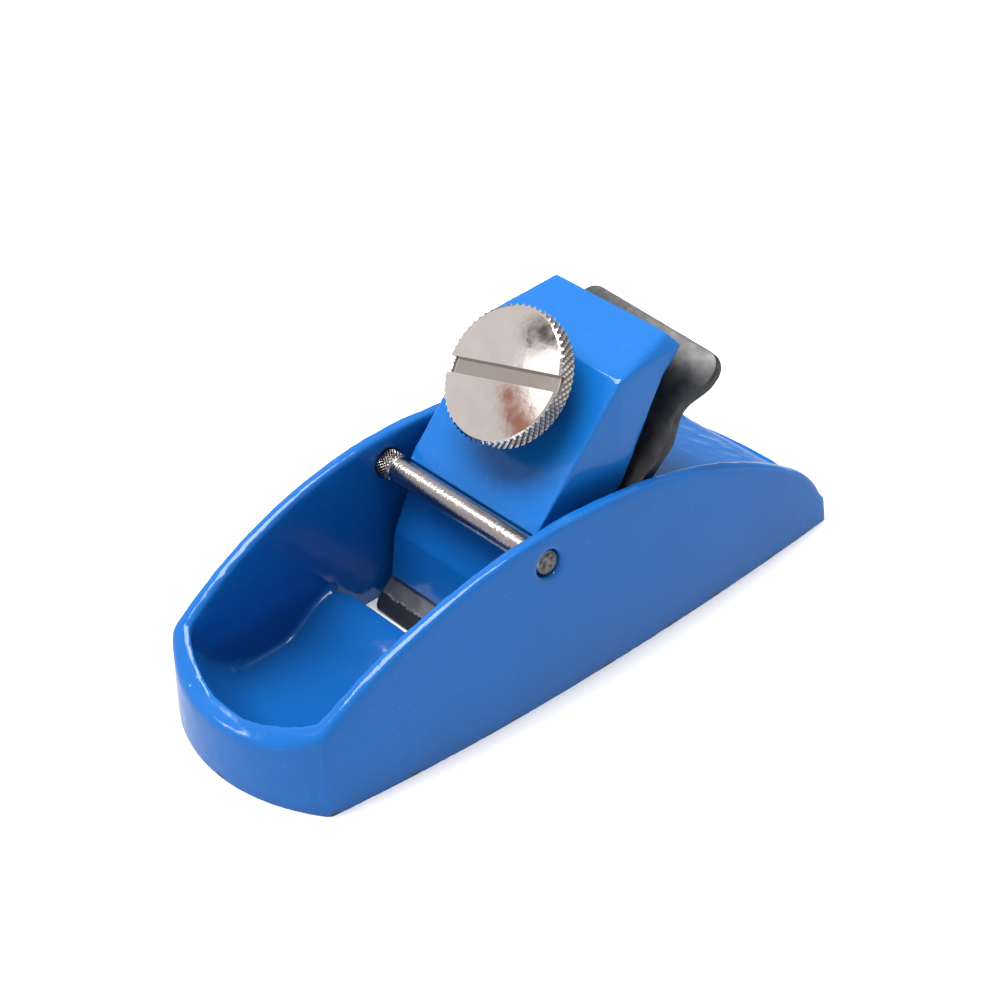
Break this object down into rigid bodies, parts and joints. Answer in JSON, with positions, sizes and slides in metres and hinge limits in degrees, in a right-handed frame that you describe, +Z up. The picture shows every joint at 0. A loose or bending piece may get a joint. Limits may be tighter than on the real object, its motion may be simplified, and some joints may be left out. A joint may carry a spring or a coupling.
{
  "type": "block plane",
  "caption": "Palm-sized block plane with a boat shaped cast body, flat blade, lever cap held under a cross pin and a knurled thumbscrew",
  "frame": {"origin": "middle of the overall length and width, on the sole", "axes": "+X towards the toe, +Y to the left of someone pushing the plane, +Z up from the sole"},
  "size_m": [0.089, 0.0324, 0.0411],
  "materials": {
    "body_enamel": "gloss",
    "cap_enamel": "gloss",
    "pin_steel": "bright",
    "blade_steel": "black oxide",
    "stud_steel": "satin",
    "nickel_plate": "polished"
  },
  "bodies": {
    "plane_body": {"body": "body_enamel", "cross_pin": "pin_steel"},
    "blade": {"blade": "blade_steel"},
    "lever_cap": {"lever_cap": "cap_enamel"},
    "screw_shank": {"thumbscrew_stud": "stud_steel"},
    "screw_head": {"thumbscrew_head": "nickel_plate"}
  },
  "joints": [
    {"name": "blade_slide", "type": "slide", "parent": "plane_body", "child": "blade", "axis": [0.7314, 0, -0.682], "range_m": [-0.012, 0.001]},
    {"name": "cap_rock", "type": "hinge", "parent": "plane_body", "child": "lever_cap", "pos_m": [0.00667, 0, 0.01889], "axis": [0, -1, 0], "range_deg": [0, 5.2]},
    {"name": "screw_travel", "type": "slide", "parent": "lever_cap", "child": "screw_shank", "axis": [0.7501, 0, 0.6613], "range_m": [0, 0.00161]},
    {"name": "screw_turn", "type": "hinge", "parent": "screw_shank", "child": "screw_head", "pos_m": [-0.0002, 0, 0.03482], "axis": [0.7501, 0, 0.6613], "range_deg": [0, 720]}
  ],
  "couplings": [
    {"joint": "screw_travel", "follows": "screw_turn", "m_per_rad": 0.00012732},
    {"joint": "cap_rock", "follows": "screw_turn", "ratio": 0.0072}
  ]
}
